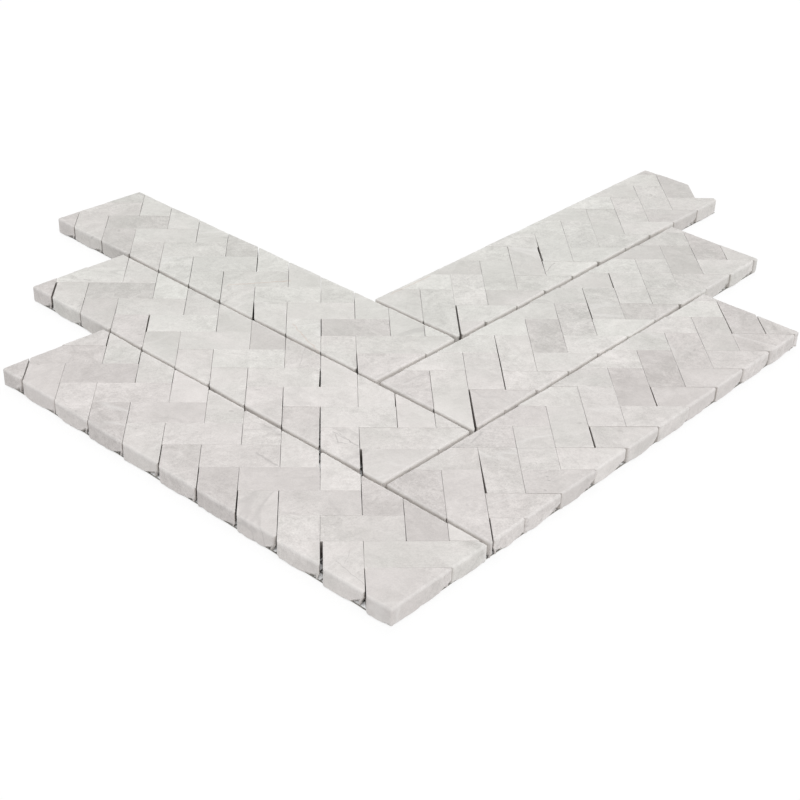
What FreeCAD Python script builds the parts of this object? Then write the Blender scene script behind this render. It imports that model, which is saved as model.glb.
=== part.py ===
# Chevron wall tile: a V-shaped mosaic sheet of six herringbone planks on a net.
#
# Each plank is a strip sawn out of a herringbone of marble chips. The chips lie at
# 45 degrees to the strip, in three rows: whole chips along the middle and cut chips
# along either edge. Three planks run to the left and three to the right, and each
# butts against the long side of its neighbour. An open net of two crossing layers
# of strands lies under the chips and holds the sheet together.
#
# Frame: +Z up, off the wall side. +Y points from the tip of the V to its open end.
# Origin: centre of the sheet's outline, at the underside of the net. Millimetres.

import FreeCAD, Part
import os
import Sketcher
from FreeCAD import Placement, Rotation, Vector

Z_AXIS = Vector(0, 0, 1)
LEFT_TURN = 135           # way a left plank runs, in degrees from +X
RIGHT_TURN = 45           # way a right plank runs
CHIP_TURN = 45            # turn of the chips against their plank
PLACES = ["back", "middle", "front"]

# name, value, meaning
SIZES = [
    ("chip_width", 19.5, "short side of a chip; the long side is two widths and a joint"),
    ("chip_joint", 0.5, "open joint between two chips"),
    ("chip_thickness", 10.0, "thickness of the marble"),
    ("arris", 0.5, "eased top edge of every chip, sawn edges included"),
    ("plank_width", 66.4, "sawn width of a plank"),
    ("plank_length", 285.5, "sawn length of a plank, along its right edge"),
    ("left_end_skew", 3.0, "left edge of a left plank, longer than its right edge"),
    ("plank_gap", 1.7, "open gap between two planks"),
    ("first_chip", 21.6, "centre of the first middle chip, from the sawn end"),
    ("left_shift", -1.4, "middle chips off the centre line of a left plank"),
    ("right_shift", 1.0, "middle chips off the centre line of a right plank"),
    ("strand_width", 0.8, "width of a net strand"),
    ("strand_thickness", 0.25, "thickness of one layer of strands"),
    ("strands_per_plank", 14, "strands across one plank and its gap"),
    ("net_inset", 2.0, "ends of the strands, in from the sheet's outline"),
]

doc = FreeCAD.newDocument("chevron_wall_tile")
sheet = doc.addObject("Spreadsheet::Sheet", "Sizes")
for number, (alias, value, meaning) in enumerate(SIZES, 1):
    sheet.set("A%d" % number, alias)
    sheet.set("B%d" % number, str(value))
    sheet.set("C%d" % number, meaning)
    sheet.setAlias("B%d" % number, alias)
doc.recompute()

# Lengths that follow from the sizes, written as expressions
CHIP = "(Sizes.chip_width + Sizes.chip_joint)"
JOINT = "Sizes.chip_joint / 2"
STEP = "(%s * sqrt(2))" % CHIP
PITCH = "(Sizes.plank_width + Sizes.plank_gap)"
GAP = "Sizes.plank_gap / 2"
LENGTH = "Sizes.plank_length"
LAST = "floor((%s - Sizes.first_chip) / %s)" % (LENGTH, STEP)
CENTRE_X = "((%s + Sizes.left_end_skew) / (2 * sqrt(2)))" % PITCH
CENTRE_Y = "((4 * %s - %s - Sizes.plank_gap) / (2 * sqrt(2)))" % (PITCH, LENGTH)
PAST_CUT = "(Sizes.plank_width + Sizes.plank_length)"
NET_TOP = "2 * Sizes.strand_thickness"

# Each band of the net as the lines where its strands start and end, and the lines
# that the band lies between, each in planks and plank lengths from the origin
LOWER_BANDS = [
    ([(-3, 0), (-2, 1)], [(-2, 0), (-1, 0)]),
    ([(-3, 0), (-1, 1)], [(-1, 0), (0, 0)]),
    ([(-3, 0), (0, 1)], [(0, 0), (1, 0)]),
    ([(-3, 0), (0, 0)], [(1, 0), (-2, 1)]),
    ([(-2, 0), (0, 0)], [(-2, 1), (-1, 1)]),
    ([(-1, 0), (0, 0)], [(-1, 1), (0, 1)]),
]
UPPER_BANDS = [
    ([(-2, 0), (-2, 1)], [(2, 0), (3, 0)]),
    ([(-2, 0), (-1, 1)], [(1, 0), (2, 0)]),
    ([(-2, 0), (0, 1)], [(0, 0), (1, 0)]),
    ([(-2, 0), (1, 0)], [(2, -1), (0, 0)]),
    ([(-1, 0), (1, 0)], [(1, -1), (2, -1)]),
    ([(0, 0), (1, 0)], [(0, -1), (1, -1)]),
]
CORNER_BANDS = ["net_lower_strands_3", "net_upper_strands_6"]


def bind(item, expressions):
    """Tie properties of a document object to expressions."""
    for path, expression in expressions.items():
        item.setExpression(path, expression)


def origin_feature(body, role):
    """The body's own origin plane or axis of that role."""
    return [item for item in body.Origin.OriginFeatures if item.Role == role][0]


def outline(body, turn, west, south, east, north, skew="0"):
    """A sketch of one slab from four sides, turned about Z; skew moves its north-east corner."""
    sketch = body.newObject("Sketcher::SketchObject", body.Name + "_outline")
    sketch.AttachmentSupport = [(origin_feature(body, "XY_Plane"), "")]
    sketch.MapMode = "FlatFace"
    sketch.AttachmentOffset = Placement(Vector(), Rotation(Z_AXIS, turn))
    corners = [Vector(0, 0), Vector(1, 0), Vector(1, 1), Vector(0, 1)]
    for line in range(4):
        sketch.addGeometry(Part.LineSegment(corners[line], corners[(line + 1) % 4]), False)
    for line in range(4):
        sketch.addConstraint(Sketcher.Constraint("Coincident", line, 2, (line + 1) % 4, 1))
    for line, direction in ((0, "Horizontal"), (2, "Horizontal"), (3, "Vertical")):
        sketch.addConstraint(Sketcher.Constraint(direction, line))
    sides = [("west", "DistanceX", 0, 0, west), ("south", "DistanceY", 0, 0, south),
             ("east", "DistanceX", 1, 1, east), ("north", "DistanceY", 2, 1, north),
             ("north_east", "DistanceX", 2, 1, "%s + %s" % (east, skew))]
    for name, kind, line, value, expression in sides:
        index = sketch.addConstraint(Sketcher.Constraint(kind, -1, 1, line, 1, value))
        sketch.renameConstraint(index, name)
    bind(sketch, {"Constraints." + side[0]: side[4] for side in sides})
    doc.recompute()
    return sketch


def slab(name, turn, sides, thickness, arris=None, skew="0"):
    """A body of one rectangular slab, its top edges eased where an arris is given."""
    body = doc.addObject("PartDesign::Body", name)
    pad = body.newObject("PartDesign::Pad", name + "_pad")
    pad.Profile = outline(body, turn, *sides, skew)
    bind(pad, {"Length": thickness})
    doc.recompute()
    if arris:
        heights = [face.CenterOfMass.z for face in pad.Shape.Faces]
        ease = body.newObject("PartDesign::Chamfer", name + "_arris")
        ease.Base = (pad, ["Face%d" % (heights.index(max(heights)) + 1)])
        bind(ease, {"Size": arris})
    doc.recompute()
    return body


def repeat(body, axis, spacing, count):
    """Repeat the whole body along one of its own axes."""
    pattern = body.newObject("PartDesign::LinearPattern", body.Name + "_row")
    pattern.TransformMode = "Whole shape"
    pattern.Direction = (origin_feature(body, axis), [""])
    pattern.Mode = "Spacing"
    bind(pattern, {"Offset": spacing, "Occurrences": count})
    body.Tip = pattern
    doc.recompute()
    return body


def chip_sides(west, south, east, north):
    """Sides in whole chip widths as expressions half a joint in; None is past the saw cut."""
    sides = []
    for place, joint in ((west, "+"), (south, "+"), (east, "-"), (north, "-")):
        if place is None:
            sides.append("-" + PAST_CUT if joint == "+" else PAST_CUT)
        else:
            sides.append("(%s) * %s %s %s" % (place, CHIP, joint, JOINT))
    return sides


def chip(name, west, south, east, north):
    """A marble blank in the turned grid of chips; the first middle chip is at the origin."""
    sides = chip_sides(west, south, east, north)
    return slab(name, CHIP_TURN, sides, "Sizes.chip_thickness", "Sizes.arris")


def herringbone():
    """The three rows of chips along a plank, each with the blanks that close its ends."""
    middle_end = chip("middle_end_blank", None, -0.5, 1, 0.5)
    middle = repeat(chip("middle_blank", 0, -1.5, 2, -0.5), "X_Axis", STEP, LAST)
    right_end = chip("right_end_blank", None, None, -1, -0.5)
    right = repeat(chip("right_blank", -1, None, 0, -0.5), "X_Axis", STEP, LAST)
    right_close = chip("right_close_blank", LAST + " - 1", None, None, "-0.5 - " + LAST)
    left_end = chip("left_end_blank", None, 0.5, 1, None)
    left = repeat(chip("left_blank", 1, -0.5, 2, None), "X_Axis", STEP, LAST + " + 2")
    return {"right": [right_end, right, right_close], "right_open": [right_end, right],
            "middle": [middle_end, middle], "left": [left_end, left]}


def laid_row(name, blanks, shift):
    """One row of blanks, moved to where it lies across a plank of that side."""
    row = doc.addObject("Part::Compound", name)
    row.Links = blanks
    bind(row, {"Placement.Base.x": "%s + Sizes.first_chip" % GAP,
               "Placement.Base.y": "%s / 2 + Sizes.%s" % (PITCH, shift)})
    return row


def lay(item, turn, place, height):
    """Turn an item the way a plank runs and lay it at the plank's place in the sheet."""
    item.Placement = Placement(Vector(), Rotation(Z_AXIS, turn))
    bind(item, {"Placement.Base.x": CENTRE_X,
                "Placement.Base.y": "%s - %d * sqrt(2) * %s" % (CENTRE_Y, place, PITCH),
                "Placement.Base.z": height})
    return item


def sawn_row(name, row, saw_cut, turn, place):
    """The part of a row that the saw leaves in a plank, laid in the sheet on the net."""
    common = doc.addObject("Part::Common", name)
    common.Base = row
    common.Tool = saw_cut
    return lay(common, turn, place, NET_TOP)


def planks():
    """Six planks of three rows; the back right plank has no chip in its outer corner."""
    blanks = herringbone()
    ends = [GAP, GAP, "%s + %s" % (GAP, LENGTH), "%s + Sizes.plank_width" % GAP]
    parts = []
    for side, turn, skew in (("left", LEFT_TURN, "Sizes.left_end_skew"), ("right", RIGHT_TURN, "0")):
        saw_cut = slab("saw_cut_%s" % side, 0, ends, "Sizes.chip_thickness", "Sizes.arris", skew)
        for name in blanks:
            laid_row("%s_row_of_%s_plank" % (name, side), blanks[name], side + "_shift")
        for place, depth in enumerate(PLACES):
            for edge in ("right", "middle", "left"):
                open_corner = edge == "right" and side == "right" and depth == "back"
                kind = "right_open" if open_corner else edge
                row = doc.getObject("%s_row_of_%s_plank" % (kind, side))
                name = "%s_%s_plank_%s_chips" % (depth, side, edge)
                parts.append(sawn_row(name, row, saw_cut, turn, place))
    return parts


def line_at(planks, lengths):
    """A line of the sheet's grid: so many planks and plank lengths from the origin."""
    return "(%d * %s + %d * (%s + Sizes.plank_gap))" % (planks, PITCH, lengths, LENGTH)


def net_band(name, turn, height, along, across):
    """A band of strands, each from line to line, spread evenly over the band's width."""
    start, end, low, high = [line_at(*line) for line in along + across]
    count = "floor((%s - %s) * Sizes.strands_per_plank / %s + 0.01)" % (high, low, PITCH)
    spacing = "(%s - %s) / %s" % (high, low, count)
    middle = "%s + %s / 2" % (low, spacing)
    sides = ["%s + %s + Sizes.net_inset" % (start, GAP), middle + " - Sizes.strand_width / 2",
             "%s - %s - Sizes.net_inset" % (end, GAP), middle + " + Sizes.strand_width / 2"]
    band = repeat(slab(name, 0, sides, "Sizes.strand_thickness"), "Y_Axis", spacing, count)
    return lay(band, turn, 0, height)


def trimmed(name, band, corner):
    """A band of the net, cut back where the back right plank has no corner chip."""
    cut = doc.addObject("Part::Cut", name)
    cut.Base = band
    cut.Tool = corner
    return cut


def net():
    """Two crossing layers of strands, in bands that step with the ends of the planks."""
    block = chip("missing_corner_block", LAST + " - 1.1", None, None, "-0.4 - " + LAST)
    corner = doc.addObject("Part::Compound", "missing_corner")
    corner.Links = [laid_row("missing_corner_row", [block], "right_shift")]
    lay(corner, RIGHT_TURN, 0, "0")
    layers = [("lower", RIGHT_TURN, "0", LOWER_BANDS),
              ("upper", LEFT_TURN, "Sizes.strand_thickness", UPPER_BANDS)]
    bands = []
    for layer, turn, height, lines in layers:
        for number, (along, across) in enumerate(lines, 1):
            name = "net_%s_strands_%d" % (layer, number)
            if name in CORNER_BANDS:
                whole = net_band(name + "_whole", turn, height, along, across)
                bands.append(trimmed(name, whole, corner))
            else:
                bands.append(net_band(name, turn, height, along, across))
    return bands


parts = planks() + net()
for part in parts:
    part.Label = part.Name
doc.recompute()
for item in doc.Objects:
    if "Invalid" in item.State or "Error" in item.State:
        raise RuntimeError("failed object: " + item.Name)
os.makedirs("parts", exist_ok=True)
for part in parts:
    if part.Shape.isNull() or not part.Shape.isValid():
        raise RuntimeError("bad shape: " + part.Name)
    part.Shape.exportStep("parts/%s.step" % part.Label)
    print(part.Label, len(part.Shape.Solids), "solids", round(part.Shape.Volume, 1), "mm3")
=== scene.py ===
# %% [markdown]
# # A chevron wall tile of marble chips
#
# The tile is a mosaic sheet: 191 chips of pale marble in six planks, held together by
# a net of glass fibre on their backs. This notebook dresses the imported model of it.
# The model gives every chip its exact outline and place. What it can't give is what a
# saw and a tumbling drum leave on real stone: soft edges, broken corners, joints of
# uneven width, and the clouds and veins of the marble itself.

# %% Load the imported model
import math
import random
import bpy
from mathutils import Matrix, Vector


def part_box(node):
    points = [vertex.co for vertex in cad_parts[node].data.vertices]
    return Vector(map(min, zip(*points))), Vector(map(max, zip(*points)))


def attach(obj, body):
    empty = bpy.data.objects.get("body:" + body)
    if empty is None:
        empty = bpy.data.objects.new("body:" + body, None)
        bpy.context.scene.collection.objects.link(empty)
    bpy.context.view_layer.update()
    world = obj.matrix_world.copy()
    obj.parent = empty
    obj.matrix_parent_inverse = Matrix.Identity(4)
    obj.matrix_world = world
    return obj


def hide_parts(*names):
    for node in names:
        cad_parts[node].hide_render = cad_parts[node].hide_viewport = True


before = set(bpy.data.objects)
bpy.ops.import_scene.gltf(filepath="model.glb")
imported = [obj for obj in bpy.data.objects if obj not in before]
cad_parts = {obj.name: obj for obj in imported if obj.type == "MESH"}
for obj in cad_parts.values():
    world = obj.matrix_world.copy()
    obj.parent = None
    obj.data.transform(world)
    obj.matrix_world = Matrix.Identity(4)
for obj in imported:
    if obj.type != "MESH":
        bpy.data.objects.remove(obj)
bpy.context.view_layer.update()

from types import SimpleNamespace

import bmesh
import bpy
from mathutils import Matrix, Vector, geometry, noise

# %% [markdown]
# ## Reading the planks
#
# Each plank is a strip of small herringbone in three rows: whole chips along the
# middle, and cut ones along the right and the left edge. The rows are nodes of the
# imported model, so their names can be worked out in a loop. A chip is named by its row
# and its number in it, counted along the plank from the near end.

# %% Names of the rows and the way each plank runs
MM = 0.001
RUNS = {"left": Vector((-1, 1)).normalized(), "right": Vector((1, 1)).normalized()}
PLANKS = [(depth, side) for side in RUNS for depth in ("back", "middle", "front")]
ROWS = ("right", "middle", "left")


def row_name(depth, side, row):
    """Name of the node that holds one row of a plank's chips."""
    return f"{depth}_{side}_plank_{row}_chips"


row_names = [row_name(depth, side, row) for depth, side in PLANKS for row in ROWS]
net_names = [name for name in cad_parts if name.startswith("net_")]
print(len(row_names), "rows of chips and", len(net_names), "bands of net")

# %% [markdown]
# ## Outlines of the chips
#
# A CAD mesh arrives as loose triangles. A merged copy of it falls into islands, one for
# each chip. The foot of an island, seen from above, is a convex polygon with the chip's
# full outline, and that polygon is all that the stone is built from.


# %% Take the outline of every chip of a row
MERGE_REACH = 0.001 * MM
FOOT_BAND = 0.01 * MM
LEAST_BEND = 0.01


def islands(node):
    """Points of a node in lists that hang together, from a merged copy of its mesh."""
    mesh = bmesh.new()
    mesh.from_mesh(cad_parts[node].data)
    bmesh.ops.remove_doubles(mesh, verts=mesh.verts, dist=MERGE_REACH)
    mesh.verts.ensure_lookup_table()
    seen = [False] * len(mesh.verts)
    found = []
    for first in mesh.verts:
        waiting, island = [first], []
        while waiting:
            vertex = waiting.pop()
            if seen[vertex.index]:
                continue
            seen[vertex.index] = True
            island.append(vertex.co.copy())
            waiting += [edge.other_vert(vertex) for edge in vertex.link_edges]
        if island:
            found.append(island)
    mesh.free()
    return found


def outline(island):
    """Convex outline of an island's foot, counter-clockwise, without points in line."""
    foot = min(point.z for point in island)
    flat = [point.to_2d() for point in island if point.z < foot + FOOT_BAND]
    corners = [flat[index] for index in geometry.convex_hull_2d(flat)]
    bends = []
    for before, corner, after in zip(corners[-1:] + corners, corners, corners[1:] + corners[:1]):
        turn = (corner - before).normalized().cross((after - corner).normalized())
        if abs(turn) > LEAST_BEND:
            bends.append(corner)
    return bends


def chips_of(node, run):
    """Outlines of a row's chips in order along the plank."""
    found = [outline(island) for island in islands(node)]
    return sorted(found, key=lambda chip: sum((corner @ run for corner in chip)) / len(chip))


chips = {}
for depth, side in PLANKS:
    for row in ROWS:
        name = row_name(depth, side, row)
        chips[name] = chips_of(name, RUNS[side])
print(sum(len(row) for row in chips.values()), "chips")
low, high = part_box(row_names[0])
chip_bottom, chip_top = low.z, high.z
print("stone from", chip_bottom, "to", chip_top)

# %% [markdown]
# ## Trimming a chip
#
# No two chips are cut alike. Each side of the polygon is moved by itself, a little
# more at one end than at the other, so joints become thin wedges as in the real
# sheet. Sides are named by the way they face: a chip's own sides face a compass
# direction, and the sides left by the plank's saw cut face a corner between two.
# The gaps around the back planks are wider than the others, and the chips of the
# nearest edge on the left are all turned a little, so they step like shingles.


# %% Name a side by the way it faces
LEAST_PART = 0.2


def facing(direction):
    """Compass name of the way that a side faces."""
    name = ""
    if abs(direction.y) > LEAST_PART:
        name = "north" if direction.y > 0 else "south"
    if abs(direction.x) > LEAST_PART:
        name += ("_" if name else "") + ("east" if direction.x > 0 else "west")
    return name


def is_sawn(name):
    """True for a side that the saw cut of the plank left."""
    return "_" in name


# %% Sizes of the cuts, in metres
HALF_JOINT = 0.25 * MM
DEPTH_JOINT = {"left": 0.2 * MM, "right": 0.13 * MM}
CROSS_JOINT = 0.05 * MM
JOINT_POWER = 1.5  # above one, so that most joints stay narrow
SAWN_INSET = (-0.3 * MM, 0.35 * MM)
SAWN_TURN = 0.3 * MM
OUTER_OPENING = 0.35 * MM
APEX_OPENING = 0.35 * MM
APEX_REACH = 70 * MM
APEX_LEAST = -0.6  # share of the opening at the far ends, where the gap closes again
BACK_OPENINGS = {("back_left_plank", "south_east"): 0.5 * MM,
                 ("back_right_plank", "south_east"): 0.6 * MM,
                 ("back_right_plank", "south_west"): 0.4 * MM}
OUTER_TURN = 0.45 * MM
STEEP = 0.5  # a side that runs east by less than this part counts as running north

# %% [markdown]
# Some joints of the sheet stand wide open. They are listed as the photo shows them: the
# row, the chip's number, the side that is cut back, and how far at its two ends, in
# millimetres, western or southern end first.

# %% Joints that stand open
OPEN_JOINTS = {
    "back_left_plank_left_chips": {0: ("west", 0.3, 0.0), 3: ("west", 0.9, 0.1)},
    "back_left_plank_middle_chips": {1: ("west", 0.15, 0.1)},
    "back_left_plank_right_chips": {5: ("west", 0.1, 0.2)},
    "middle_left_plank_left_chips": {
        0: ("west", 0.9, 0.8), 2: ("east", 0.5, 0.1), 9: ("west", 0.8, 0.8)},
    "middle_left_plank_middle_chips": {3: ("east", 0.7, 0.1), 6: ("west", 0.4, 0.4)},
    "middle_left_plank_right_chips": {2: ("east", 0.15, 0.15)},
    "front_left_plank_left_chips": {
        0: ("west", 0.2, 0.0), 1: ("west", 1.1, 1.0), 3: ("west", 0.35, 0.2),
        4: ("west", 0.15, 0.1), 5: ("west", 0.1, 0.1), 10: ("east", 0.3, 0.3)},
    "front_left_plank_middle_chips": {0: ("south", -0.15, 0.15)},
    "front_left_plank_right_chips": {
        4: ("east", 0.4, 0.4), 9: ("east", 0.15, 0.1), 10: ("east", 0.3, 0.2)},
    "back_right_plank_right_chips": {0: ("west", 0.8, 0.6), 1: ("west", 0.7, 0.6)},
    "back_right_plank_middle_chips": {3: ("east", -0.2, 0.6), 4: ("west", 0.5, -0.25)},
    "middle_right_plank_right_chips": {
        0: ("west", 0.9, 0.7), 1: ("west", 0.7, 0.5), 2: ("west", 0.3, 0.3)},
    "middle_right_plank_middle_chips": {2: ("west", 0.35, -0.15), 5: ("west", 0.4, -0.1)},
    "middle_right_plank_left_chips": {6: ("east", 0.3, 0.1)},
    "front_right_plank_middle_chips": {1: ("west", 0.8, -0.25), 9: ("west", 0.25, 0.0)},
    "front_right_plank_right_chips": {
        0: ("west", 0.3, 0.3), 4: ("west", 0.7, 0.5), 6: ("west", 0.4, 0.3),
        10: ("west", 0.3, 0.2)},
}


# %% Trim the sides of a chip
def side_trims(node, number, side, chance):
    """How far a side is cut back at its western or southern end and at its other end."""
    name, first, second = OPEN_JOINTS.get(node, {}).get(number, ("", 0.0, 0.0))
    if name == side:
        return first * MM, second * MM
    if is_sawn(side):
        amount, turn = chance.uniform(*SAWN_INSET), chance.uniform(-SAWN_TURN, SAWN_TURN)
        return amount - turn, amount + turn
    widest = CROSS_JOINT
    if side in ("east", "west"):
        widest = DEPTH_JOINT["left" if "_left_plank" in node else "right"]
    first, second = (chance.random() ** JOINT_POWER * widest - HALF_JOINT for _ in range(2))
    if side in ("north", "south") and node.startswith("front_right_plank_right"):
        second += chance.uniform(0, OUTER_OPENING)
    return first, second


def widened(node, side, corner):
    """How much further back a sawn side lies where the gap in front of it is a wide one."""
    wider = BACK_OPENINGS.get((node.rsplit("_", 2)[0], side), 0.0)
    if node.startswith("front") and side in ("north_west", "north_east"):
        wider += APEX_OPENING * max(APEX_LEAST, 1 - abs(corner.x) / APEX_REACH)
    return wider


def trimmed(node, number, corners, chance):
    """The sides of a chip as lines, each cut back by itself, and the names of the sides."""
    lines, names = [], []
    for corner, after in zip(corners, corners[1:] + corners[:1]):
        along = (after - corner).normalized()
        out = Vector((along.y, -along.x))
        name = facing(out)
        wider = widened(node, name, corner)
        first, second = (trim + wider for trim in side_trims(node, number, name, chance))
        if node == "front_left_plank_left_chips" and name == "south_west":
            first, second = first - OUTER_TURN, second + OUTER_TURN
        if (along.x if abs(along.x) > STEEP else along.y) < 0:
            first, second = second, first
        lines.append((corner - out * first, after - out * second))
        names.append(name)
    return lines, names


# %% [markdown]
# ## Round corners
#
# Wear takes more from a sharp tip than from a blunt corner. The outline gets an arc at
# each corner and closely spaced points between them. The same function draws it again
# with every side moved in, which gives the narrower rings of the rounded top edge.

# %% Sizes of the worn edges, in metres
SPACING = 1.3 * MM
ARC_STEPS = 4
LEAST_RADIUS = 0.04 * MM
SAWN_ARRIS = 1.2 * MM
JOINT_ARRIS = 0.28 * MM
SHARP = math.radians(110)
BLUNT = math.radians(70)
SHORT_SIDE = 2.0 * MM
LEAST_STEPS = 2
SHARP_RADIUS = (0.55 * MM, 0.8 * MM)
BLUNT_RADIUS = (1.8 * MM, 1.2 * MM)
SAWN_RADIUS = (0.9 * MM, 0.7 * MM)
JOINT_RADIUS = (0.2 * MM, 0.2 * MM)


def corner_radius(turn, sawn, chance):
    """Radius worn on a corner, its least and what may come on top: more at the saw cuts."""
    least, more = SAWN_RADIUS if sawn else JOINT_RADIUS
    if turn > SHARP:
        least, more = SHARP_RADIUS
    elif sawn and turn < BLUNT:
        least, more = BLUNT_RADIUS
    return least + more * chance.random() ** 2


# %% Break off the tip that is missing in the photo
BROKEN_TIPS = {("back_right_plank_right_chips", 9): 4.6 * MM}


def with_broken_tip(node, number, corners):
    """The outline without its most eastern tip, where that one is broken off."""
    if (node, number) not in BROKEN_TIPS:
        return corners
    size = BROKEN_TIPS[(node, number)]
    tip = max(range(len(corners)), key=lambda k: corners[k].x)
    before, after = corners[tip - 1], corners[(tip + 1) % len(corners)]
    ends = [corners[tip] + (other - corners[tip]).normalized() * size for other in (before, after)]
    return corners[:tip] + ends + corners[tip + 1:]


# %% Prepare the cut of a chip
def long_sides(lines, names):
    """The sides without any that is too short to carry an arris of its own."""
    kept = [k for k, (start, end) in enumerate(lines) if (end - start).length > SHORT_SIDE]
    return [lines[k] for k in kept], [names[k] for k in kept]


def cut_chip(node, number, corners, chance):
    """Sides, turns, radii and arrises of a trimmed chip."""
    corners = with_broken_tip(node, number, corners)
    lines, names = long_sides(*trimmed(node, number, corners, chance))
    along = [(end - start).normalized() for start, end in lines]
    out = [Vector((way.y, -way.x)) for way in along]
    count = len(lines)
    cut = SimpleNamespace(names=names, along=along, out=out, starts=[line[0] for line in lines])
    cut.turns = [along[k - 1].angle(along[k]) for k in range(count)]
    cut.arrises = [SAWN_ARRIS if is_sawn(name) else JOINT_ARRIS for name in names]
    cut.sawn = [float(is_sawn(name)) for name in names]
    cut.corners = side_crossings(cut, [0.0] * count)
    cut.middle = sum(cut.corners, Vector((0, 0))) / count
    lengths = [(cut.corners[(k + 1) % count] - cut.corners[k]).length for k in range(count)]
    cut.steps = [max(LEAST_STEPS, round(length / SPACING)) for length in lengths]
    cut.radii = [corner_radius(cut.turns[k], cut.sawn[k - 1] or cut.sawn[k], chance)
                 for k in range(count)]
    return cut


def side_crossings(cut, insets):
    """Corners of the outline when each side is moved in by its own inset."""
    found = []
    for k in range(len(insets)):
        place = cut.starts[k - 1] - cut.out[k - 1] * insets[k - 1]
        other = cut.starts[k] - cut.out[k] * insets[k]
        before, after = cut.along[k - 1], cut.along[k]
        found.append(place + before * ((other - place).cross(after) / before.cross(after)))
    return found


def outline_places(cut, insets):
    """Points of the outline with each side moved in, arcs in the corners included."""
    count = len(insets)
    corners = side_crossings(cut, insets)
    radii = [max(cut.radii[k] - (insets[k - 1] + insets[k]) / 2, LEAST_RADIUS) for k in range(count)]
    reaches = [radii[k] * math.tan(cut.turns[k] / 2) for k in range(count)]
    places = []
    for k in range(count):
        centre = corners[k] - cut.along[k - 1] * reaches[k] - cut.out[k - 1] * radii[k]
        for step in range(ARC_STEPS + 1):
            turn = Matrix.Rotation(cut.turns[k] * step / ARC_STEPS, 2)
            places.append(centre + turn @ cut.out[k - 1] * radii[k])
        after = (k + 1) % count
        start = corners[k] + cut.along[k] * reaches[k]
        end = corners[after] - cut.along[k] * reaches[after]
        for step in range(1, cut.steps[k]):
            places.append(start.lerp(end, step / cut.steps[k]))
    return places


# %% [markdown]
# Every point of the outline also knows which way is out, how wide its arris is, how
# far the corners are, and whether another chip stands close in front of it. The last
# is asked of the outlines: a point a little further out either lies inside some other
# chip or in the open. The gaps between planks take a longer step than the joints.

# %% Describe the points of an outline
GAP_PROBE = 2.9 * MM
JOINT_PROBE = 0.8 * MM
NEIGHBOUR_REACH = 60 * MM
all_outlines = [corners for row in chips.values() for corners in row]
all_middles = [sum(corners, Vector((0, 0))) / len(corners) for corners in all_outlines]


def inside(place, corners):
    """True where a place lies in a convex outline."""
    return all((after - corner).cross(place - corner) >= 0
               for corner, after in zip(corners, corners[1:] + corners[:1]))


def describe(cut):
    """For every outline point: outward way, arris, distances to its corners, dust with painted light,
    painted shade.
    """
    near = [corners for corners, middle in zip(all_outlines, all_middles)
            if (middle - cut.middle).length < NEIGHBOUR_REACH]
    count = len(cut.along)
    places = outline_places(cut, [0.0] * count)
    found = []
    for k in range(count):
        for step in range(ARC_STEPS + 1):
            share = step / ARC_STEPS
            out = Matrix.Rotation(cut.turns[k] * share, 2) @ cut.out[k - 1]
            arris = cut.arrises[k - 1] * (1 - share) + cut.arrises[k] * share
            sawn = cut.sawn[k - 1] * (1 - share) + cut.sawn[k] * share
            found.append(SimpleNamespace(out=out, arris=arris, sawn=sawn, corners={k: 0.0}))
        after = (k + 1) % count
        for step in range(1, cut.steps[k]):
            place = places[len(found)]
            gaps = {k: (place - cut.corners[k]).length, after: (place - cut.corners[after]).length}
            found.append(SimpleNamespace(out=cut.out[k], arris=cut.arrises[k], sawn=cut.sawn[k],
                                         corners=gaps))
    # Walls that face a gap between planks get pale dust and painted light; walls in a narrow joint get
    # painted shade.
    for point, place in zip(found, places):
        probes = place + point.out * GAP_PROBE, place + point.out * JOINT_PROBE
        gap, joint = (any(inside(probe, corners) for corners in near) for probe in probes)
        point.dusty, point.stained = point.sawn * gap, (1 - point.sawn) * joint
    return found


# %% [markdown]
# ## The stone
#
# A chip is a stack of rings that follow one outline, closed by a flat top and bottom.
# From the top down: the rim of the face, the arris as a quarter circle, the sawn wall
# with its slight waves, and the breaks along the foot, where the saw came out of the
# stone. Breaks are small along the sides and large at the sharp corners. A break cuts
# in under the sawn sides, and under the sides in the joints mostly close to the corner.
# A bevel modifier would wear all edges alike, while rings give each side its own arris.

# %% Sizes of the stone's surface, in metres
ARRIS_STEPS = 4
WALL_SHARES = (0.35, 0.72, 0.9)
WALL_WAVE = 0.06 * MM
WAVE_LENGTH = 3.5 * MM
FACE_DROP = 0.22 * MM
LEAST_BREAK = 0.08 * MM
SIDE_BREAK = 1.2 * MM
SIDE_SLOPE = 0.6
RIPPLE_LEVEL = 0.5
RIPPLES = ((0.6, 5.5 * MM), (0.4, 1.9 * MM))
ROUGH_SIZE, ROUGH_LENGTH = 0.4, 1.5 * MM

# Least and most of the breaks at corners, for sharp ones (True) and for the others.
BREAK_DEPTH = {True: (2.2 * MM, 5.2 * MM), False: (0.1 * MM, 1.5 * MM)}
BREAK_REACH = {True: (5.0 * MM, 10.0 * MM), False: (2.0 * MM, 5.0 * MM)}
BREAK_SLOPE = (0.45, 0.85)
BREAK_WAY = 4.0 * MM
TIP_REACH = 2.5 * MM
JOINT_HOLD = 0.3
CORNER_FADE = 2.0 * MM
ARRIS_WEAR, WEAR_LENGTH = 0.35, 2.2 * MM
RIM = 0.3 * MM
SEED_STEP = 7.3


def wave(place, height, length, seed):
    """Smooth noise between -1 and 1 over the stone, another one for each seed."""
    return noise.noise(Vector((place.x / length, place.y / length, height / length + SEED_STEP * seed)))


def lifted(place, height):
    """A flat place at a height."""
    return Vector((place.x, place.y, height))


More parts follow.
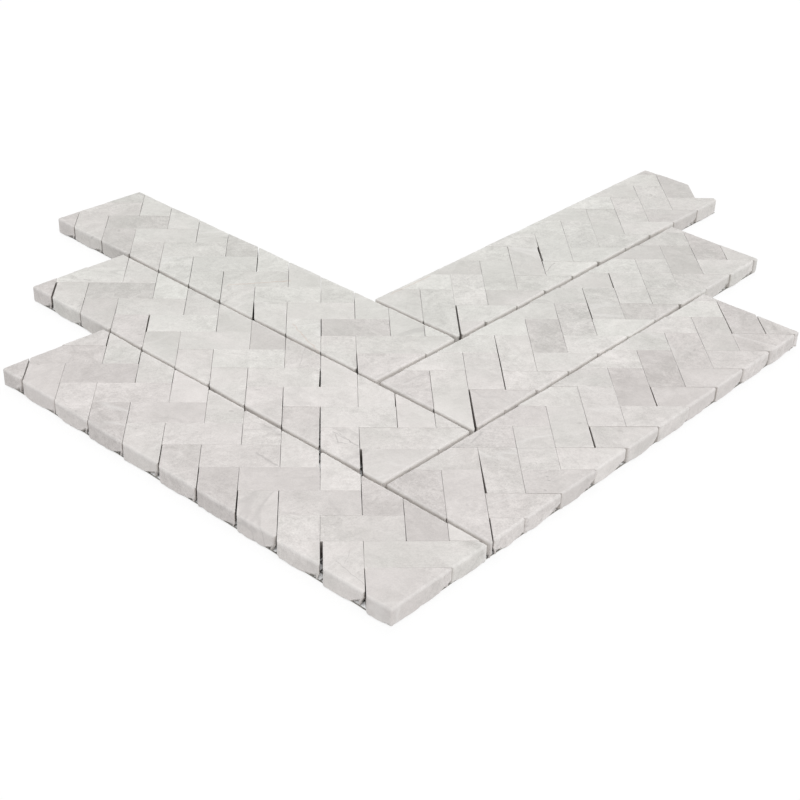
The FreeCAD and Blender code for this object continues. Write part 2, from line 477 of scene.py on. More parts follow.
def foot_breaks(cut, points, places, chance, seed):
    """For every outline point, how high the break reaches and which way it cuts in."""
    sharp = [turn > SHARP for turn in cut.turns]
    depths = [chance.uniform(*BREAK_DEPTH[kind]) for kind in sharp]
    reaches = [chance.uniform(*BREAK_REACH[kind]) for kind in sharp]
    slopes = [chance.uniform(*BREAK_SLOPE) for kind in sharp]
    found = []
    for point, place in zip(points, places):
        fade = min(1.0, min(point.corners.values()) / CORNER_FADE)
        ripple = RIPPLE_LEVEL
        for size, length in RIPPLES:
            ripple += size * wave(place, 0.0, length, seed)
        rough = 1 + ROUGH_SIZE * wave(place, 0.0, ROUGH_LENGTH, seed + 0.5)
        lift = LEAST_BREAK + SIDE_BREAK * max(0.0, ripple) ** 2
        shift = -point.out * lift * SIDE_SLOPE * fade
        for corner, distance in point.corners.items():
            share = math.exp(-(distance / reaches[corner]) ** 2)
            lift += depths[corner] * share * rough
            inward = (cut.middle - cut.corners[corner]).normalized()
            inward -= point.out * min(1.0, distance / BREAK_WAY)
            free = max(point.sawn, math.exp(-(distance / TIP_REACH) ** 2))
            hold = JOINT_HOLD + (1 - JOINT_HOLD) * free
            shift += inward * depths[corner] * slopes[corner] * share * hold
        found.append((lift, shift))
    return found


# %% Build the rings of a chip
# How far in and how high the rings of the foot lie, as shares of the break.
FOOT_LEVELS = ((1.0, 0.0), (0.66, 0.5), (0.0, 1.0))


def chip_rings(cut, points, chance, seed):
    """Rings of the chip from its foot to its face."""
    top = chip_top - chance.uniform(0, FACE_DROP)
    places = outline_places(cut, [0.0] * len(cut.along))
    breaks = foot_breaks(cut, points, places, chance, seed)
    rings = []
    for depth, height in FOOT_LEVELS:
        rings.append([lifted(place + shift * depth, chip_bottom + lift * height)
                      for place, (lift, shift) in zip(places, breaks)])
    for share in WALL_SHARES:
        ring = []
        for point, place, (lift, _) in zip(points, places, breaks):
            height = (chip_bottom + lift) * (1 - share) + (top - point.arris) * share
            push = WALL_WAVE * (wave(place, height, WAVE_LENGTH, seed) - 1)
            ring.append(lifted(place + point.out * push, height))
        rings.append(ring)
    for step in range(ARRIS_STEPS + 1):
        angle = math.pi / 2 * step / ARRIS_STEPS
        ring = []
        insets = [arris * (1 - math.cos(angle)) for arris in cut.arrises]
        for point, place in zip(points, outline_places(cut, insets)):
            fade = min(1.0, min(point.corners.values()) / CORNER_FADE)
            worn = point.arris * ARRIS_WEAR * fade * wave(place, top, WEAR_LENGTH, seed)
            place = place - point.out * worn * (1 - math.cos(angle))
            ring.append(lifted(place, top - (point.arris + worn) * (1 - math.sin(angle))))
        rings.append(ring)
    insets = [arris + RIM for arris in cut.arrises]
    rings.append([lifted(place, top) for place in outline_places(cut, insets)])
    return rings


# %% [markdown]
# Every chip also carries a few numbers for the marble: how pale it is, how warm, how
# its bedding runs and which spot of the quarry block it was cut from. They are stored
# as attributes on its points, so one material serves the whole sheet and no two chips
# look alike. The walls in the gaps between planks are made paler by sawing dust and by
# painted light, and those of the narrow joints darker by painted shade. Both start a
# little below the face. The rings along the edges are paler, partly from wear and partly
# as a painted highlight.

# %% Character of each chip
# Chips that the photo shows pale, dark or dull: plank, row and numbers in the row.
PALE_CHIPS = {
    "back_left_plank": {"right": [0], "middle": [2, 3], "left": [2]},
    "middle_left_plank": {"right": [0, 1, 2, 3], "middle": [0, 1, 2, 3, 4, 6], "left": [4, 5]},
    "front_left_plank": {"right": [0, 3, 7], "middle": [0], "left": [1]},
    "back_right_plank": {"right": [4], "left": [1]},
    "middle_right_plank": {"right": [2], "middle": [0, 2], "left": [1, 2, 3]},
    "front_right_plank": {"right": [3], "left": [4, 6, 9]},
}
DARK_CHIPS = {
    "back_left_plank": {"right": [6], "middle": [1, 8], "left": [8, 10]},
    "middle_left_plank": {"middle": [8], "left": [10]},
    "front_left_plank": {"right": [1, 2], "middle": [8], "left": [4, 7, 10]},
    "back_right_plank": {"right": [8], "middle": [9], "left": [10]},
    "middle_right_plank": {"right": [6], "middle": [3, 8, 9], "left": [8, 9]},
    "front_right_plank": {"middle": [5, 6, 9], "left": [0]},
}
DULL_CHIPS = {
    "back_left_plank": {"right": [10], "middle": [5, 9]},
    "middle_left_plank": {"right": [5, 7], "left": [2, 8]},
    "front_left_plank": {"middle": [2, 3, 6, 9], "left": [5]},
    "back_right_plank": {"right": [2], "middle": [3, 5, 8]},
    "middle_right_plank": {"right": [1, 7, 8, 10], "middle": [4, 5, 7], "left": [5, 10]},
    "front_right_plank": {"right": [2, 9, 10], "middle": [8]},
}
TONES = ((PALE_CHIPS, 1.0, 1.5), (DARK_CHIPS, -1.9, -1.3), (DULL_CHIPS, -0.8, -0.4))
PALE_MEAN, PALE_SPREAD = 0.15, 0.4

# The chips grow warmer towards the tip of the V and towards the outer ends of the planks.
SOUTH_REACH = 60 * MM
ENDS_START, ENDS_REACH = 130 * MM, 90 * MM
SOUTH_WARMTH, ENDS_WARMTH, BASE_WARMTH, PALE_WARMTH = 1.5, 0.9, -0.8, -0.25
WARM_SPREAD = 0.25
BEDDING_SPREAD = 0.8
BLOCK_REACH = 4


def character(node, number, middle, chance):
    """Paleness and warmth of a chip, about -1 to 1, its bedding and its spot in the block."""
    plank, row, _ = node.rsplit("_", 2)
    pale = chance.gauss(PALE_MEAN, PALE_SPREAD)
    for listed, low, high in TONES:
        if number in listed[plank].get(row, []):
            pale = chance.uniform(low, high)
    south = 1.0 - min(1.0, max(0.0, (middle.y + SOUTH_REACH) / (2 * SOUTH_REACH)))
    ends = max(0.0, (abs(middle.x) - ENDS_START) / ENDS_REACH)
    warm = SOUTH_WARMTH * south + ENDS_WARMTH * ends + BASE_WARMTH + PALE_WARMTH * pale
    warm += chance.gauss(0, WARM_SPREAD)
    bedding = chance.gauss(0.0, BEDDING_SPREAD)
    spot = [chance.uniform(-BLOCK_REACH, BLOCK_REACH) for _ in range(3)]
    return {"pale": pale, "warm": warm, "bedding": bedding, "spot": spot}


# %% Build one row of chips as a mesh
# How pale each ring is made, from the foot to the rim of the face: partly wear, partly a painted
# highlight along the edges.
WEAR_AND_HIGHLIGHT = (0, 0, 0.5, 0, 0, 0.1, 0.5, 1, 1, 1, 0.5, 0)
# Depth below the face over which the dust with painted light and the painted joint shade grow in.
DUST_AND_SHADE_DEPTH = 1.2 * MM

# How far apart the seeds of two rows lie, for chance and for noise.
CHANCE_STEP, NOISE_STEP = 1000, 20


def build_row(node, seed):
    """A mesh of all the chips of a row, with their character on its points."""
    places, faces, flat_faces, lips = [], [], [], []
    values = {name: [] for name in ("pale", "warm", "bedding", "spot", "dust", "stain", "worn")}
    for number, corners in enumerate(chips[node]):
        chance = random.Random(seed * CHANCE_STEP + number)
        cut = cut_chip(node, number, corners, chance)
        points = describe(cut)
        rings = chip_rings(cut, points, chance, seed * NOISE_STEP + number)
        marks = character(node, number, cut.middle, chance)
        start, count = len(places), len(points)
        for level, ring in enumerate(rings):
            lips += [level == len(FOOT_LEVELS) - 1] * count
            for point, place in zip(points, ring):
                places.append(place)
                # Dust with painted light in the gaps and painted shade in the joints grow with depth
                # below the face.
                depth = min(1.0, max(0.0, (chip_top - place.z) / DUST_AND_SHADE_DEPTH))
                values["dust"].append(point.dusty * depth)
                values["stain"].append(point.stained * depth)
                # Paler edge rings: partly wear, partly painted highlight.
                values["worn"].append(WEAR_AND_HIGHLIGHT[level])
                values["spot"] += marks["spot"]
                for name in ("pale", "warm", "bedding"):
                    values[name].append(marks[name])
        for level in range(len(rings) - 1):
            low_ring, high_ring = start + level * count, start + (level + 1) * count
            for k in range(count):
                after = (k + 1) % count
                faces.append((low_ring + k, low_ring + after, high_ring + after, high_ring + k))
        last = start + (len(rings) - 1) * count
        flat_faces += [len(faces), len(faces) + 1]
        faces.append(tuple(range(start + count - 1, start - 1, -1)))
        faces.append(tuple(range(last, last + count)))
    return stone_mesh(node, places, faces, flat_faces, lips, values)


def stone_mesh(node, places, faces, flat_faces, lips, values):
    """The mesh itself: smooth walls, flat faces, a crisp edge along the breaks."""
    mesh = bpy.data.meshes.new(node + "_stone")
    mesh.from_pydata(places, [], faces)
    smooth = [True] * len(faces)
    for index in flat_faces:
        smooth[index] = False
    mesh.polygons.foreach_set("use_smooth", smooth)
    crisp = [lips[edge.vertices[0]] and lips[edge.vertices[1]] for edge in mesh.edges]
    mesh.attributes.new("sharp_edge", "BOOLEAN", "EDGE").data.foreach_set("value", crisp)
    for name, numbers in values.items():
        kind, field = ("FLOAT_VECTOR", "vector") if name == "spot" else ("FLOAT", "value")
        mesh.attributes.new(name, kind, "POINT").data.foreach_set(field, numbers)
    mesh.update()
    return mesh


# %% [markdown]
# ## The marble
#
# The stone is a fine-grained marble, almost white, with soft clouds a few millimetres
# wide, fine streaks along its bedding and now and then a thin grey vein. All of it is
# noise on Object coordinates, moved for each chip to its own spot in the block.


# %% Short ways to add nodes
BUMP_HEIGHT = 0.05 * MM


def add(tree, kind, inputs=None, **settings):
    """A node with its sockets' values or links and its properties."""
    made = tree.nodes.new(kind)
    for name, value in settings.items():
        setattr(made, name, value)
    for name, value in (inputs or {}).items():
        if isinstance(value, bpy.types.NodeSocket):
            tree.links.new(value, made.inputs[name])
        else:
            made.inputs[name].default_value = value
    return made


def calculate(tree, operation, first, second=0.0, clamp=False):
    """Output of a Math node."""
    made = add(tree, "ShaderNodeMath", {0: first, 1: second}, operation=operation, use_clamp=clamp)
    return made.outputs[0]


def product(tree, first, *others):
    """Several values multiplied by one another."""
    for other in others:
        first = calculate(tree, "MULTIPLY", first, other)
    return first


def vector(tree, operation, *values, **named):
    """Output of a Vector Math node."""
    inputs = {**dict(enumerate(values)), **named}
    made = add(tree, "ShaderNodeVectorMath", inputs, operation=operation)
    return made.outputs["Value" if operation in ("DOT_PRODUCT", "LENGTH") else "Vector"]


def grain(tree, place, scale, detail=2.0, roughness=0.5, distortion=0.0):
    """Noise around zero, about -0.5 to 0.5, at so many features to the metre."""
    inputs = {"Vector": place, "Scale": scale, "Detail": detail, "Roughness": roughness,
              "Distortion": distortion}
    made = add(tree, "ShaderNodeTexNoise", inputs, noise_dimensions="3D")
    return calculate(tree, "SUBTRACT", made.outputs["Fac"], 0.5)


def span(tree, value, low, high, first=0.0, last=1.0):
    """A value mapped smoothly from one range to another."""
    inputs = {"Value": value, "From Min": low, "From Max": high, "To Min": first, "To Max": last}
    made = add(tree, "ShaderNodeMapRange", inputs, interpolation_type="SMOOTHSTEP")
    return made.outputs["Result"]


def blend(tree, factor, first, second, mode="MIX"):
    """Two colours mixed by a factor. The node's colour sockets go by number."""
    inputs = {0: factor, 6: first, 7: second}
    return add(tree, "ShaderNodeMix", inputs, data_type="RGBA", blend_type=mode).outputs[2]


def relief(tree, shader, strength, height):
    """Fine bumps for a shader, from a height in units of BUMP_HEIGHT."""
    inputs = {"Strength": strength, "Distance": BUMP_HEIGHT, "Height": height}
    bump = add(tree, "ShaderNodeBump", inputs)
    tree.links.new(bump.outputs["Normal"], shader.inputs["Normal"])


# %% Start a material, a node group or an object
def new_material(name):
    """A material with its node tree and its shader."""
    made = bpy.data.materials.new(name)
    made.use_nodes = True
    return made, made.node_tree, made.node_tree.nodes["Principled BSDF"]


def new_group(name, kind, inputs, outputs):
    """A node group with the sockets it is given, and the sockets of its two ends."""
    tree = bpy.data.node_groups.new(name, kind)
    for in_out, sockets in (("INPUT", inputs), ("OUTPUT", outputs)):
        for socket, value in sockets.items():
            tree.interface.new_socket(socket, in_out=in_out, socket_type="NodeSocket" + value)
    return tree, tree.nodes.new("NodeGroupInput").outputs, tree.nodes.new("NodeGroupOutput").inputs


def new_object(name, data):
    """An object in the scene, at its origin."""
    made = bpy.data.objects.new(name, data)
    bpy.context.scene.collection.objects.link(made)
    return made


# %% Colours of the stone, in linear light
def tone(red, green, blue):
    """Linear colour from the eight-bit values of a colour picker."""
    parts = [part / 255 for part in (red, green, blue)]
    return tuple(((part + 0.055) / 1.055) ** 2.4 for part in parts) + (1.0,)


DARK_STONE = tone(196, 192.5, 189.5)
PALE_STONE = tone(244, 241, 238)
WARM_TINT = tone(255, 252.2, 252.4)
COOL_TINT = tone(252.4, 255, 252.2)
VEIN_GREY = tone(172, 168, 166)
VEIN_PALE = tone(243, 241, 239)
# Paler edges: wear and a painted highlight.
WORN_EDGE_HIGHLIGHT = tone(252, 250, 248)
# Pale sawing dust in the gaps between planks, which also stands in as painted light.
GAP_DUST_AND_LIGHT = tone(234, 230, 226)
# Painted shade inside the narrow joints.
PAINTED_JOINT_SHADE = tone(136, 127, 119)


# %% Sizes of the marble's pattern
# Noise that adds up to the clouds: whether it follows the bedding, features to the
# metre, detail, roughness, distortion and weight.
CLOUDS = (
    (False, 50.0, 2.0, 0.5, 0.0, 0.5),
    (True, 150.0, 3.0, 0.55, 0.8, 0.75),
    (False, 290.0, 3.0, 0.6, 0.6, 0.52),
    (False, 700.0, 3.0, 0.6, 0.0, 0.58),
    (False, 1500.0, 2.0, 0.5, 0.0, 0.75),
)
BED_TILT, BED_STRETCH = (0.5, 0.0, 0.0), (0.72, 1.0, 0.8)
MEAN_SHADE, PALE_SHADE = 0.475, 0.13

# These two map a noise: its features to the metre, its range and the result's range.
BUSY = (14.0, -0.2, 0.2, 0.55, 1.35)
FLECKS = (170.0, 0.24, 0.34, 0.0, 0.35)
CLOUD_WARMTH, WARM_RANGE = 1.5, 1.2

# Veins: turn, features to the metre, colour, strength, width and place of their noise.
VEINS = ((0.6, 34.0, VEIN_GREY, 0.3, 0.014, 0.0), (2.0, 48.0, VEIN_PALE, 0.4, 0.03, 3.0))
VEIN_TILT, VEIN_STRETCH = (0.3, 0.2), (0.3, 1.0, 1.0)

# Where veins show: features of a noise to the metre, and its range.
VEIN_PLACES = (16.0, 0.05, 0.2)
PIT_SCALE = 900.0


# %% Build the group of the marble's pattern
def marble_group():
    """Node group: colour and height of the marble at a place of the block."""
    tree, given, put = new_group(
        "marble_pattern", "ShaderNodeTree",
        {"Place": "Vector", "Bedding": "Float", "Pale": "Float", "Warm": "Float"},
        {"Color": "Color", "Height": "Float"})
    turned = {"Vector": given["Place"], "Angle": given["Bedding"]}
    place = add(tree, "ShaderNodeVectorRotate", turned, rotation_type="Z_AXIS").outputs[0]
    stretched = {"Vector": place, "Rotation": BED_TILT, "Scale": BED_STRETCH}
    beds = add(tree, "ShaderNodeMapping", stretched, vector_type="POINT").outputs[0]
    layers = [(grain(tree, beds if bedded else place, *noise_sizes), weight)
              for bedded, *noise_sizes, weight in CLOUDS]
    shade = calculate(tree, "ADD", product(tree, given["Pale"], PALE_SHADE), MEAN_SHADE)
    busy = span(tree, grain(tree, place, BUSY[0], 1.0), *BUSY[1:])
    for layer, weight in layers:
        shade = calculate(tree, "ADD", shade, product(tree, layer, weight, busy))
    fleck = span(tree, grain(tree, beds, FLECKS[0], 1.0), *FLECKS[1:])
    shade = calculate(tree, "SUBTRACT", shade, fleck, True)
    stone = blend(tree, shade, DARK_STONE, PALE_STONE)
    warmth = calculate(tree, "ADD", given["Warm"], product(tree, layers[0][0], CLOUD_WARMTH))
    tint = blend(tree, span(tree, warmth, -WARM_RANGE, WARM_RANGE), COOL_TINT, WARM_TINT)
    stone = blend(tree, 1.0, stone, tint, "MULTIPLY")
    for turn, size, color, strength, width, offset in VEINS:
        moved = {"Vector": place, "Location": (offset, 0.0, 0.0), "Rotation": (*VEIN_TILT, turn),
                 "Scale": VEIN_STRETCH}
        sheet = add(tree, "ShaderNodeMapping", moved, vector_type="POINT").outputs[0]
        ridge = calculate(tree, "ABSOLUTE", grain(tree, sheet, size, 2.0, 0.4, 0.3))
        line = span(tree, ridge, 0.0, width, 1.0, 0.0)
        where = span(tree, grain(tree, sheet, VEIN_PLACES[0]), *VEIN_PLACES[1:])
        stone = blend(tree, product(tree, line, where, strength), stone, color)
    tree.links.new(stone, put["Color"])
    tree.links.new(grain(tree, place, PIT_SCALE, 3.0, 0.6), put["Height"])
    return tree


# %% [markdown]
# A few marks in the photo are worth placing one by one: a small net of grey veins, a
# smudge, a clay-coloured band and some specks. Each is a short stroke between two
# places of the sheet, a line for a vein and almost a point for a speck. The distance
# to that line, worn by noise, is the mask that darkens the stone.

# %% Marks at known places of the sheet: ends and width in millimetres, strength
VEIN_CLAY = tone(206, 178, 160)
GREY_MARKS = [
    ((-47.4, -102.9), (-34.3, -116.4), 0.5, 0.55),
    ((-45.9, -106.1), (-45.2, -112.7), 0.5, 0.6),
    ((-45.2, -112.7), (-40.3, -114.1), 0.45, 0.5),
    ((-44.8, -103.3), (-37.8, -113.1), 0.4, 0.45),
    ((-85.7, -122.7), (-75.9, -133.4), 1.3, 0.5),
    ((85.8, 78.3), (93.6, 92.4), 0.5, 0.6),
    ((-46.9, -209.5), (-34.0, -226.6), 0.4, 0.4),
    ((-42.7, -212.2), (-39.8, -201.9), 0.4, 0.3),
    ((15.7, -117.3), (19.6, -113.6), 0.9, 0.5),
    ((23.8, -112.7), (29.9, -103.3), 0.9, 0.5),
    ((58.1, -142.9), (59.1, -143.3), 0.6, 0.8),
    ((58.6, -146.8), (59.5, -147.2), 0.6, 0.8),
    ((55.6, -154.9), (56.5, -155.4), 0.6, 0.8),
    ((-197.4, 65.0), (-193.7, 64.4), 0.9, 0.7),
    ((-195.7, 31.0), (-193.7, 33.5), 0.9, 0.5),
    ((-208.7, -35.9), (-207.5, -36.5), 0.6, 0.6),
    ((-194.8, -56.0), (-193.2, -56.0), 0.6, 0.6),
    ((50.2, -36.7), (51.9, -36.6), 0.6, 0.5),
]
CLAY_MARKS = [
    ((-110.0, 59.0), (-72.8, 65.6), 0.7, 0.5),
    ((-11.7, 48.9), (13.5, 73.2), 0.7, 0.35),
    ((-70.0, 10.7), (-64.6, -1.7), 0.7, 0.35),
    ((-64.6, -1.7), (-54.2, -22.3), 0.7, 0.35),
]


def mark_group():
    """Node group: a mask along a short stroke between two places."""
    tree, given, put = new_group(
        "stroke_mark", "ShaderNodeTree",
        {"Place": "Vector", "Start": "Vector", "End": "Vector", "Width": "Float"},
        {"Mask": "Float"})
    along = vector(tree, "SUBTRACT", given["End"], given["Start"])
    gone = vector(tree, "SUBTRACT", given["Place"], given["Start"])
    share = calculate(tree, "DIVIDE", vector(tree, "DOT_PRODUCT", gone, along),
                      vector(tree, "DOT_PRODUCT", along, along), True)
    rest = vector(tree, "SUBTRACT", gone, vector(tree, "SCALE", along, Scale=share))
    mask = span(tree, vector(tree, "LENGTH", rest), 0.0, given["Width"], 1.0, 0.0)
    tree.links.new(mask, put["Mask"])
    return tree


# %% Build the material of the marble
MIDDLE = (0.5, 0.5, 0.5)
FLAT = (1.0, 1.0, 0.0)
SHIVER_SCALE, SHIVER = 260.0, 2.5 * MM
MOST_MARK = 0.85
STONE_GLOSS = (-0.3, 0.3, 0.4, 0.52)
STONE_RELIEF = 0.25
STONE_IOR = 1.45

# What is laid over the stone's colour: paler edges (wear and painted highlight), painted
# shade in the joints, dust and painted light in the gaps. For each: the value on the mesh,
# its strength and its colour.
COVERS = (("worn", 0.22, WORN_EDGE_HIGHLIGHT), ("stain", 0.6, PAINTED_JOINT_SHADE), ("dust", 0.8, GAP_DUST_AND_LIGHT))


def marked(tree, color, place, stroke):
    """The stone's colour with the listed marks on it."""
    shiver = add(tree, "ShaderNodeTexNoise", {"Vector": place, "Scale": SHIVER_SCALE, "Detail": 3.0})
    moved = vector(tree, "SUBTRACT", shiver.outputs["Color"], MIDDLE)
    moved = vector(tree, "MULTIPLY_ADD", moved, (SHIVER, SHIVER, 0.0), place)
    level = vector(tree, "MULTIPLY", moved, FLAT)
    for marks, tint in ((GREY_MARKS, VEIN_GREY), (CLAY_MARKS, VEIN_CLAY)):
        total = 0.0
        for start, end, width, strength in marks:
            inputs = {"Place": level, "Start": lifted(Vector(start) * MM, 0), "Width": width * MM,
                      "End": lifted(Vector(end) * MM, 0)}
            mask = add(tree, "ShaderNodeGroup", inputs, node_tree=stroke).outputs[0]
            total = calculate(tree, "ADD", product(tree, mask, strength), total)
        color = blend(tree, calculate(tree, "MINIMUM", total, MOST_MARK), color, tint)
    return color


def read(tree, name, output="Fac"):
    """A value that is stored on the mesh."""
    return add(tree, "ShaderNodeAttribute", attribute_name=name).outputs[output]


def marble_material(pattern, stroke):
    """Honed marble with its chip's own pattern, painted shade in joints, dust and painted light in
    gaps.
    """
    made, tree, shader = new_material("pale_marble")
    sheet = add(tree, "ShaderNodeTexCoord").outputs["Object"]
    place = vector(tree, "ADD", sheet, read(tree, "spot", "Vector"))
    inputs = {name.title(): read(tree, name) for name in ("bedding", "pale", "warm")}
    stone = add(tree, "ShaderNodeGroup", {"Place": place, **inputs}, node_tree=pattern)
    color = marked(tree, stone.outputs["Color"], sheet, stroke)
    # Paler edges with a painted highlight, painted shade in the joints, dust and painted light in the
    # gaps.
    for name, strength, tint in COVERS:
        color = blend(tree, product(tree, read(tree, name), strength), color, tint)
    tree.links.new(color, shader.inputs["Base Color"])
    pits = stone.outputs["Height"]
    tree.links.new(span(tree, pits, *STONE_GLOSS), shader.inputs["Roughness"])
    relief(tree, shader, STONE_RELIEF, pits)
    shader.inputs["IOR"].default_value = STONE_IOR
    return made


marble = marble_material(marble_group(), mark_group())
print("material", marble.name)

# %% Make the rows of chips
triangles = 0
for seed, name in enumerate(row_names, 1):
    stone = new_object(name.replace("_chips", "_stones"), build_row(name, seed))
    stone.data.materials.append(marble)
    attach(stone, "root")
    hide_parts(name)
    stone.data.calc_loop_triangles()
    triangles += len(stone.data.loop_triangles)
print("stones:", triangles, "triangles")

# %% [markdown]
# ## The net
#
# Behind the chips lies an open net of resin-coated glass fibre, in two crossing
# layers. A strand is a flat ribbon of fibres that is never quite straight. Geometry
# Nodes make them: a straight line for each strand goes in, is resampled, pushed a
# little off its course and swept with a flat oval. One number then changes them all.

# %% Sizes of a strand, in metres
STRAND_WIDTH = 0.8 * MM
STRAND_THICKNESS = 0.25 * MM
STRAND_STEP = 2.4 * MM
STRAND_SWAY = 0.25 * MM
SWAY_SCALE = 60.0
SWAY_WAYS = (2.0, 2.0, 0.0)
OVAL_SIDES = 8


def strand_lines(node):
    """A mesh of one straight line for each strand of a band."""
    run = RUNS["right" if "lower" in node else "left"]
    across = Vector((-run.y, run.x))
    places, edges = [], []
    for island in islands(node):
        along = [point.to_2d() @ run for point in island]
        beside = [point.to_2d() @ across for point in island]
        height = sum(point.z for point in island) / len(island)
        middle = across * (min(beside) + max(beside)) / 2
        edges.append((len(places), len(places) + 1))
        for end in (min(along), max(along)):
            places.append((run * end + middle).to_3d() + Vector((0, 0, height)))
    mesh = bpy.data.meshes.new(node + "_lines")
    mesh.from_pydata(places, edges, [])
    return mesh


# %% Build the tree that makes strands out of lines
def strand_tree(fibre):
    """Geometry Nodes tree with named sizes that sweeps every line with a flat oval."""
    numbers = {name: "Float" for name in ("Width", "Thickness", "Step", "Sway", "Seed")}
    tree, given, put = new_group("net_strands", "GeometryNodeTree",
                                 {"Geometry": "Geometry", **numbers}, {"Geometry": "Geometry"})
    curve = add(tree, "GeometryNodeMeshToCurve", {"Mesh": given["Geometry"]})
    points = add(tree, "GeometryNodeResampleCurve",
                 {"Curve": curve.outputs[0], "Length": given["Step"]}, mode="LENGTH")
    position = add(tree, "GeometryNodeInputPosition").outputs[0]
    inputs = {"Vector": position, "W": given["Seed"], "Scale": SWAY_SCALE, "Detail": 1.0}
    rustle = add(tree, "ShaderNodeTexNoise", inputs, noise_dimensions="4D")
    level = vector(tree, "SUBTRACT", rustle.outputs["Color"], MIDDLE)
    level = vector(tree, "MULTIPLY", level, SWAY_WAYS)
    sway = vector(tree, "SCALE", level, Scale=given["Sway"])
    moved = add(tree, "GeometryNodeSetPosition", {"Geometry": points.outputs[0], "Offset": sway})
    upright = add(tree, "GeometryNodeSetCurveNormal", {"Curve": moved.outputs[0]}, mode="Z_UP")
    oval = add(tree, "GeometryNodeCurvePrimitiveCircle", {"Resolution": OVAL_SIDES, "Radius": 0.5})
    size = add(tree, "ShaderNodeCombineXYZ",
               {"X": given["Width"], "Y": given["Thickness"], "Z": 1.0}).outputs[0]
    flat = add(tree, "GeometryNodeTransform", {"Geometry": oval.outputs[0], "Scale": size})
    swept = add(tree, "GeometryNodeCurveToMesh",
                {"Curve": upright.outputs[0], "Profile Curve": flat.outputs[0], "Fill Caps": True})
    real = add(tree, "GeometryNodeRealizeInstances", {"Geometry": swept.outputs[0]})
    dressed = add(tree, "GeometryNodeSetMaterial", {"Geometry": real.outputs[0], "Material": fibre})
    tree.links.new(dressed.outputs[0], put[0])
    return tree


# %% Build the material of the net
# The net's greys are darker than the coated fibre would be, as painted shade under the chips.
SHADED_DARK_FIBRE, SHADED_PALE_FIBRE = tone(148, 146, 140), tone(176, 174, 168)
MOTTLE_SCALE, THREAD_SCALE = 700.0, 4000.0
MOTTLE_RANGE = (-0.2, 0.2)
FIBRE_RELIEF = 0.5
FIBRE_GLOSS = 0.45


def fibre_material():
    """Resin-coated glass fibre, darkened as painted shade, with a fine grain of threads."""
    made, tree, shader = new_material("glass_fibre")
    place = add(tree, "ShaderNodeTexCoord").outputs["Object"]
    mottle = span(tree, grain(tree, place, MOTTLE_SCALE, 3.0), *MOTTLE_RANGE)
    tree.links.new(blend(tree, mottle, SHADED_DARK_FIBRE, SHADED_PALE_FIBRE), shader.inputs["Base Color"])
    relief(tree, shader, FIBRE_RELIEF, grain(tree, place, THREAD_SCALE, 2.0))
    shader.inputs["Roughness"].default_value = FIBRE_GLOSS
    return made


# %% Make the bands of the net
tree = strand_tree(fibre_material())
sockets = {item.name: item.identifier for item in tree.interface.items_tree
           if item.in_out == "INPUT"}
net_triangles = 0
for seed, name in enumerate(sorted(net_names), 1):
    lines = new_object(name + "_lines", strand_lines(name))
    maker = lines.modifiers.new("strands", "NODES")
    maker.node_group = tree
    sizes = {"Width": STRAND_WIDTH, "Thickness": STRAND_THICKNESS, "Step": STRAND_STEP,
             "Sway": STRAND_SWAY, "Seed": float(seed)}
    for size, value in sizes.items():
        maker[sockets[size]] = value
    seen = lines.evaluated_get(bpy.context.evaluated_depsgraph_get())
    mesh = bpy.data.meshes.new_from_object(seen)
    bpy.data.objects.remove(lines)
    strands = new_object(name + "_fibre", mesh)
    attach(strands, "root")
    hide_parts(name)
    mesh.calc_loop_triangles()
    net_triangles += len(mesh.loop_triangles)
print("net:", net_triangles, "triangles")

# %% [markdown]
# ## The studio
#
# The sheet lies on a plain white floor in even light from all around. A broad lamp
# from the front right lights the walls on that side, and a weaker one from behind
# catches the far arrises. The camera looks down at about 32 degrees, turned a little,
# as in the photo. Its place was worked out from the photo: the two ways that the
# planks run meet the horizon at two points, and those fix lens, tilt and turn.

# %% Camera
IMAGE_WIDTH = 800
FOCAL_PIXELS = 1466.6
SENSOR = 36.0
CLIP_START = 10 * MM
TILT, YAW, ROLL = math.radians(58.088), math.radians(-3.612), math.radians(2.1)
TARGET = Vector((-11.43, -72.17, 10.5)) * MM
DISTANCE = 783.5 * MM

back = Vector((math.sin(YAW) * math.sin(TILT), -math.cos(YAW) * math.sin(TILT), math.cos(TILT)))
across = Vector((math.cos(YAW), math.sin(YAW), 0))
down = (-back).cross(across)
turned = Matrix.Rotation(ROLL, 3, "Z") @ Matrix((across, down, -back))
camera_data = bpy.data.cameras.new("camera")
camera_data.sensor_width = SENSOR
camera_data.lens = FOCAL_PIXELS / IMAGE_WIDTH * SENSOR
camera_data.clip_start = CLIP_START
camera = new_object("camera", camera_data)
axes = Matrix((turned[0], -turned[1], -turned[2])).transposed()
camera.matrix_world = Matrix.Translation(TARGET + back * DISTANCE) @ axes.to_4x4()
bpy.context.scene.camera = camera
print("camera at", camera.matrix_world.translation, "lens", round(camera_data.lens, 2))

# %% [markdown]
# The photo's ground is pure white, which a lit floor never quite is. So the floor glows
# towards the camera, except in the shade close to the chips, and is matt for the rest.

# %% Floor
FLOOR_SIZE = 6.0
FLOOR_DROP = 0.2 * MM
WHITE = (1.0, 1.0, 1.0, 1.0)
MATT_WHITE = (0.85, 0.85, 0.85, 1.0)
GLOW, GLOW_SHARE = 1.02, 0.85
SHADE_REACH = 30 * MM
SHADE_RANGE = (0.06, 0.2)
SHADE_SAMPLES = 8


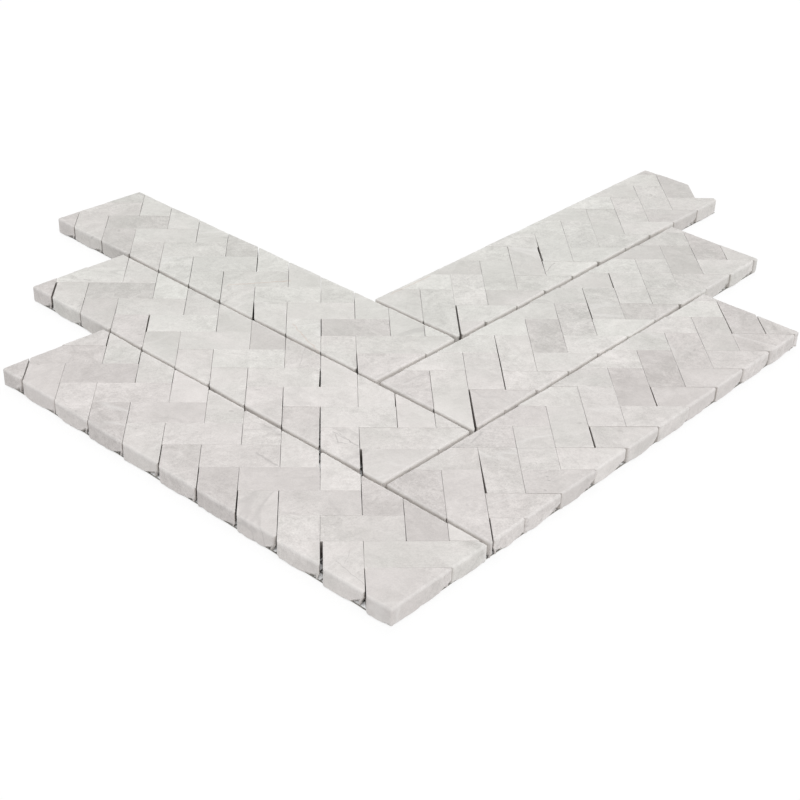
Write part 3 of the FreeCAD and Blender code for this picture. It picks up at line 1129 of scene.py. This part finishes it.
def floor_material():
    """White floor: bright to the camera, dark only in the shade under the chips."""
    made, tree, shader = new_material("white_floor")
    tree.nodes.remove(shader)
    path = add(tree, "ShaderNodeLightPath").outputs
    seen = calculate(tree, "MAXIMUM", path["Is Camera Ray"], path["Is Glossy Ray"])
    seen = calculate(tree, "MAXIMUM", seen, path["Is Transmission Ray"])
    matt = add(tree, "ShaderNodeBsdfDiffuse", {"Color": blend(tree, seen, MATT_WHITE, WHITE)})
    glow = add(tree, "ShaderNodeEmission", {"Color": WHITE, "Strength": GLOW})
    open_sky = add(tree, "ShaderNodeAmbientOcclusion", {"Distance": SHADE_REACH},
                   samples=SHADE_SAMPLES)
    lit = span(tree, open_sky.outputs["AO"], *SHADE_RANGE)
    glowing = product(tree, seen, GLOW_SHARE, lit)
    mixed = add(tree, "ShaderNodeMixShader",
                {0: glowing, 1: matt.outputs[0], 2: glow.outputs[0]})
    tree.links.new(mixed.outputs[0], tree.nodes["Material Output"].inputs["Surface"])
    return made


bpy.ops.mesh.primitive_plane_add(size=FLOOR_SIZE, location=(0, 0, -FLOOR_DROP))
floor = bpy.context.object
floor.name = "floor"
floor.data.materials.append(floor_material())

# %% Light
SKY_STRENGTH = 0.57

# Each lamp: name, angle around the sheet, height, strength and width, angles in degrees.
LAMPS = (("key_light", 293, 50, 1.0, 30), ("back_light", 85, 56, 0.52, 40))

world = bpy.data.worlds.new("studio")
bpy.context.scene.world = world
world.use_nodes = True
sky = world.node_tree
sky.nodes["Background"].inputs["Color"].default_value = WHITE
path = add(sky, "ShaderNodeLightPath").outputs
plain = calculate(sky, "MAXIMUM", path["Is Camera Ray"], path["Is Glossy Ray"])
brightness = span(sky, plain, 0.0, 1.0, SKY_STRENGTH, 1.0)
sky.links.new(brightness, sky.nodes["Background"].inputs["Strength"])


def sun(name, azimuth, elevation, strength, spread):
    """A distant lamp at an angle around the sheet, counted from the east by the north."""
    data = bpy.data.lights.new(name, "SUN")
    data.energy = strength
    data.angle = math.radians(spread)
    lamp = new_object(name, data)
    turn, rise = math.radians(azimuth), math.radians(elevation)
    level = math.cos(rise)
    source = Vector((math.cos(turn) * level, math.sin(turn) * level, math.sin(rise)))
    lamp.rotation_euler = source.to_track_quat("Z", "Y").to_euler()


for lamp in LAMPS:
    sun(*lamp)
bpy.context.scene.view_settings.view_transform = "Standard"
print("studio ready")
